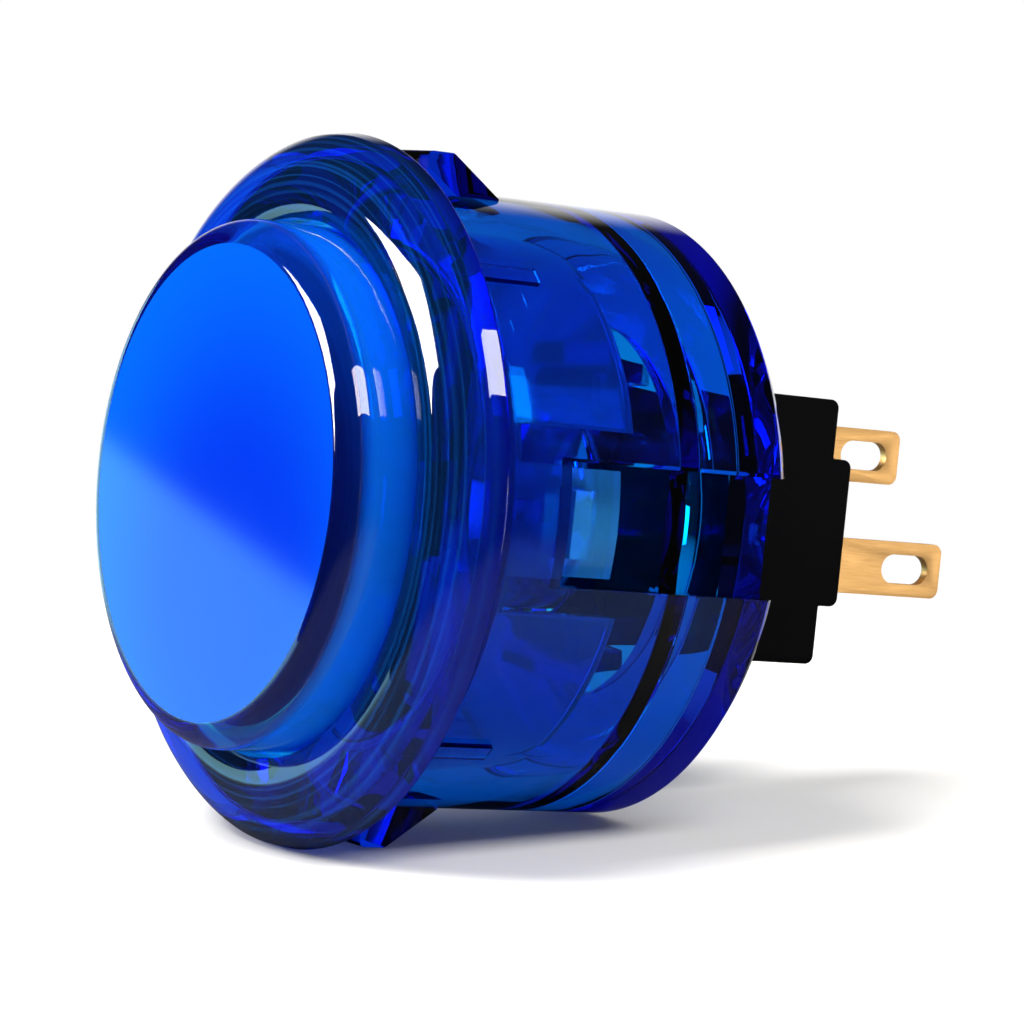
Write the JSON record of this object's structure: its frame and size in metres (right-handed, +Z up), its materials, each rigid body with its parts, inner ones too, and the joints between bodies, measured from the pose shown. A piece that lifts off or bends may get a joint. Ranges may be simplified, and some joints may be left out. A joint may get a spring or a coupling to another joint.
{
  "type": "arcade push button",
  "caption": "Snap-in arcade push button with a domed flange, a round plunger, a slotted barrel and a microswitch with flat wire tabs at its rear.",
  "frame": {"origin": "centre of the flange's seat, the flat ring that rests on the panel's front", "axes": "+Y along the button's axis, from the pressed face towards the terminals; +Z up, through a snap wedge; +X through a side slot"},
  "size_m": [0.034, 0.042, 0.034],
  "materials": {
    "housing_plastic": "clear blue polycarbonate, polished mould",
    "cap_plastic": "clear blue polycarbonate, fine satin on the face",
    "core_plastic": "lighter translucent blue polycarbonate",
    "switch_plastic": "black moulded, fine texture",
    "actuator_plastic": "natural acetal",
    "spring_steel": "drawn wire",
    "blade_metal": "rolled copper alloy",
    "contact_metal": "silver alloy",
    "terminal_metal": "stamped brass strip"
  },
  "bodies": {
    "body": {"housing": "housing_plastic", "switch_case": "switch_plastic", "switch_cover": "switch_plastic", "common_terminal": "terminal_metal", "output_terminal": "terminal_metal", "fixed_contact": "contact_metal", "return_spring": "spring_steel"},
    "plunger": {"plunger_cap": "cap_plastic", "plunger_core": "core_plastic"},
    "actuator": {"switch_actuator": "actuator_plastic"},
    "blade": {"contact_blade": "blade_metal", "moving_contact": "contact_metal"}
  },
  "joints": [
    {"name": "plunger_press", "type": "slide", "parent": "body", "child": "plunger", "axis": [0, 1, 0], "range_m": [0, 0.0018], "stiffness_N_per_m": 300, "springref_m": -0.0017},
    {"name": "actuator_slide", "type": "slide", "parent": "body", "child": "actuator", "axis": [0, 1, 0], "range_m": [0, 0.0018], "deforming": ["return_spring"]},
    {"name": "blade_swing", "type": "hinge", "parent": "body", "child": "blade", "pos_m": [0, 0.0246, 0.0039], "axis": [1, 0, 0], "range_deg": [0, 6.6]}
  ],
  "couplings": [
    {"joint": "actuator_slide", "follows": "plunger_press", "ratio": 1},
    {"joint": "blade_swing", "follows": "plunger_press", "rad_per_m": 63.9}
  ]
}
